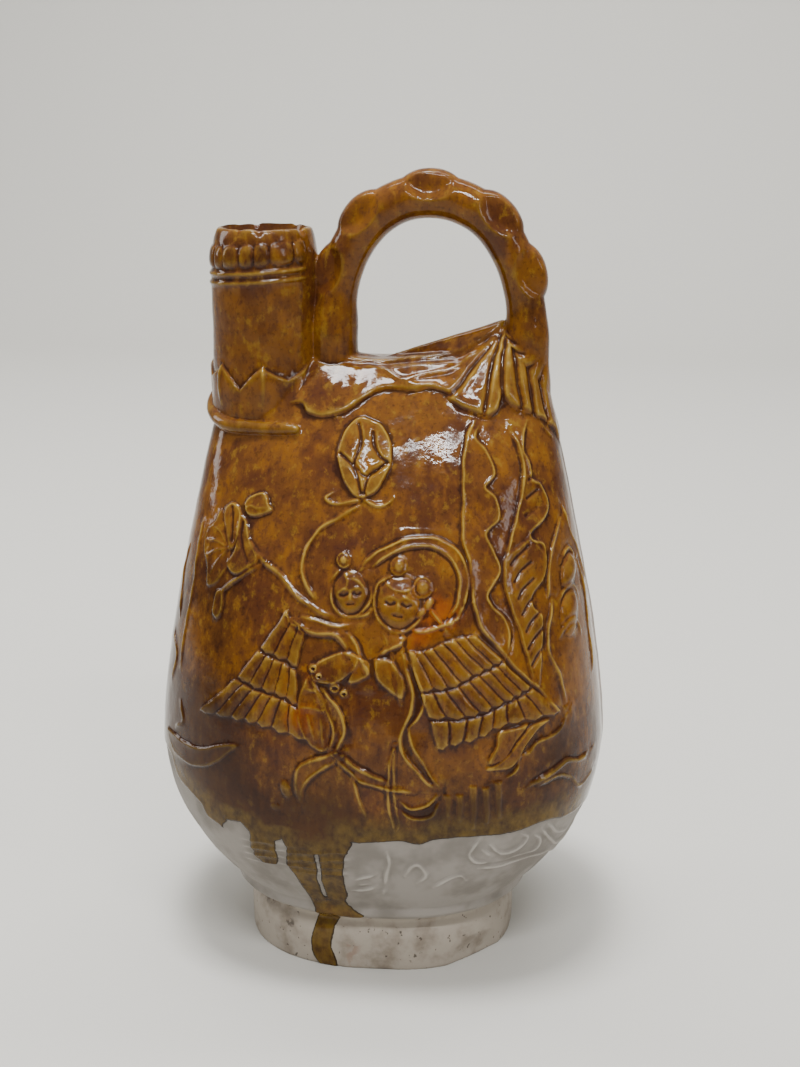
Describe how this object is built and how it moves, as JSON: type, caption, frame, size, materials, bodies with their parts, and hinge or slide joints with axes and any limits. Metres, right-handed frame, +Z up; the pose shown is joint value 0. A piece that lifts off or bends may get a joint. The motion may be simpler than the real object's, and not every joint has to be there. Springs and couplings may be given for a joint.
{
  "type": "pouch-shaped flask",
  "caption": "Hollow earthenware flask shaped like a leather pouch, with a spout, a loop handle, moulded reliefs and a low foot, part glazed in amber.",
  "frame": {"origin": "middle of the foot's underside, on the surface that the flask stands on", "axes": "+Z up; +X along the broad face toward the handle's outer root, with the spout at -X; -Y is the front face that the picture shows"},
  "size_m": [0.1625, 0.1346, 0.2806],
  "materials": {
    "glazed_clay": "glossy mottled amber glaze over pale slip, bare at the foot"
  },
  "bodies": {
    "root": {"flask": "glazed_clay"}
  },
  "joints": []
}
